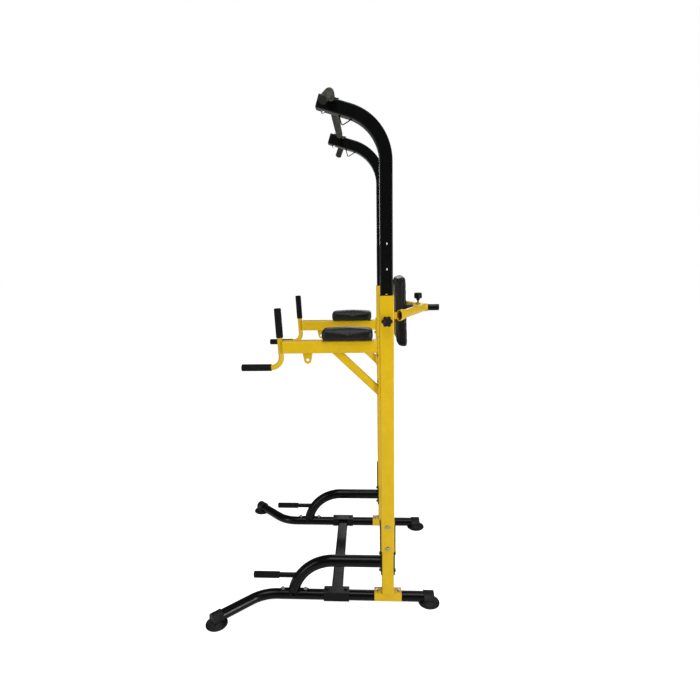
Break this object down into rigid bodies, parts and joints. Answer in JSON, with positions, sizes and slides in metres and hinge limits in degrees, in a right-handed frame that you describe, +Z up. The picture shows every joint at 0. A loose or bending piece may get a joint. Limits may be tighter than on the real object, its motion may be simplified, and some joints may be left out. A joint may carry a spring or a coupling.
{
  "type": "power tower",
  "caption": "Free-standing gym tower with a height-adjustable pull-up bar, dip arms with pads, a sliding backrest and push-up handles.",
  "frame": {"origin": "on the floor, under the middle of the bounding box", "axes": "+Z up, +X across the tower to the user's left when they stand with their back to the backrest, -Y the front, where the user stands"},
  "size_m": [1.022, 1.019, 2.1127],
  "materials": {
    "yellow_paint": "semi-gloss powder coat",
    "black_paint": "semi-gloss powder coat",
    "rubber": "matt",
    "foam": "matt closed-cell foam",
    "vinyl": "semi-gloss upholstery vinyl",
    "plastic": "satin",
    "zinc_plate": "zinc plated"
  },
  "bodies": {
    "frame": {"crossbar": "black_paint", "backrest_bracket": "yellow_paint", "base_rail_left": "black_paint", "base_rail_right": "black_paint", "foot_rear_left": "rubber", "foot_rear_right": "rubber", "foot_front_left": "rubber", "foot_front_right": "rubber", "base_post_left": "yellow_paint", "base_post_right": "yellow_paint", "curved_brace_left": "black_paint", "curved_brace_right": "black_paint", "brace_clamp_left": "black_paint", "brace_clamp_right": "black_paint", "push_up_grip_left": "foam", "push_up_grip_right": "foam", "upright_left": "yellow_paint", "upright_right": "yellow_paint", "post_bushing_left": "plastic", "post_bushing_right": "plastic", "dip_arm_left": "yellow_paint", "dip_arm_right": "yellow_paint", "dip_grip_upright_left": "foam", "dip_grip_upright_right": "foam", "dip_grip_forward_left": "foam", "dip_grip_forward_right": "foam", "arm_pad_left": "vinyl", "arm_pad_right": "vinyl", "upright_bolt_lower_left": "zinc_plate", "upright_bolt_lower_right": "zinc_plate", "upright_bolt_upper_left": "zinc_plate", "upright_bolt_upper_right": "zinc_plate", "arm_bolt_lower_left": "zinc_plate", "arm_bolt_lower_right": "zinc_plate", "arm_bolt_upper_left": "zinc_plate", "arm_bolt_upper_right": "zinc_plate"},
    "pull_up_frame": {"pull_up_bar": "black_paint", "bar_foam_centre": "foam", "gooseneck_left": "black_paint", "gooseneck_right": "black_paint", "gooseneck_cap_left": "plastic", "gooseneck_cap_right": "plastic", "bar_clamp_left": "black_paint", "bar_clamp_right": "black_paint", "bar_bolt_left": "zinc_plate", "bar_bolt_right": "zinc_plate", "hook_loop_left": "black_paint", "hook_loop_right": "black_paint", "bar_foam_outer_left": "foam", "bar_foam_outer_right": "foam", "bar_end_cap_left": "plastic", "bar_end_cap_right": "plastic"},
    "height_pin_left": {"height_pin_left": "zinc_plate"},
    "height_pin_right": {"height_pin_right": "zinc_plate"},
    "height_knob_left": {"height_knob_left": "plastic"},
    "height_knob_right": {"height_knob_right": "plastic"},
    "backrest": {"backrest_slide": "black_paint", "backrest_slide_cap": "plastic", "backrest_pad": "vinyl"},
    "backrest_knob": {"backrest_knob": "plastic"}
  },
  "joints": [
    {"name": "pull_up_height", "type": "slide", "parent": "frame", "child": "pull_up_frame", "axis": [0, 0, 1], "range_m": [-0.3, 0.2]},
    {"name": "height_pin_left_pull", "type": "slide", "parent": "frame", "child": "height_pin_left", "axis": [1, 0, 0], "range_m": [0, 0.012]},
    {"name": "height_pin_right_pull", "type": "slide", "parent": "frame", "child": "height_pin_right", "axis": [-1, 0, 0], "range_m": [0, 0.012]},
    {"name": "height_knob_left_turn", "type": "hinge", "parent": "height_pin_left", "child": "height_knob_left", "pos_m": [0.352, 0.2585, 1.2575], "axis": [1, 0, 0], "continuous": true},
    {"name": "height_knob_right_turn", "type": "hinge", "parent": "height_pin_right", "child": "height_knob_right", "pos_m": [-0.352, 0.2585, 1.2575], "axis": [-1, 0, 0], "continuous": true},
    {"name": "backrest_depth", "type": "slide", "parent": "frame", "child": "backrest", "axis": [0, 1, 0], "range_m": [-0.06, 0.01]},
    {"name": "backrest_knob_turn", "type": "hinge", "parent": "frame", "child": "backrest_knob", "pos_m": [0, 0.4145, 1.32], "axis": [0, 0, 1], "continuous": true}
  ]
}
